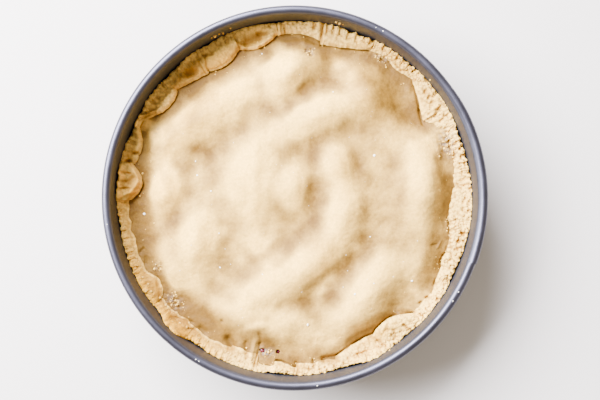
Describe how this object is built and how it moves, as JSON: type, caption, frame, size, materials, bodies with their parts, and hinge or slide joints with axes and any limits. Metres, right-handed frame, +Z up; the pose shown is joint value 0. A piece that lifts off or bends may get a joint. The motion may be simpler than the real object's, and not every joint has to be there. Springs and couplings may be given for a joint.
{
  "type": "unbaked plum pie in its tin",
  "caption": "Uncooked shortcrust pie with a domed dough lid over plums and a folded, fork-pressed edge, in a deep round metal tin.",
  "frame": {"origin": "middle of the underside of the tin, on the surface that it stands on", "axes": "+Z up along the tin's axis; the side seam of the tin's band lies 20 degrees clockwise from +X, seen from above"},
  "size_m": [0.2731, 0.2724, 0.0679],
  "materials": {
    "tinplate": "satin",
    "raw_dough": "matte",
    "plum_flesh": "gloss"
  },
  "bodies": {
    "root": {"tin_band": "tinplate", "tin_base": "tinplate", "pastry_case": "raw_dough", "pastry_lid": "raw_dough", "plum_filling": "plum_flesh"}
  },
  "joints": []
}
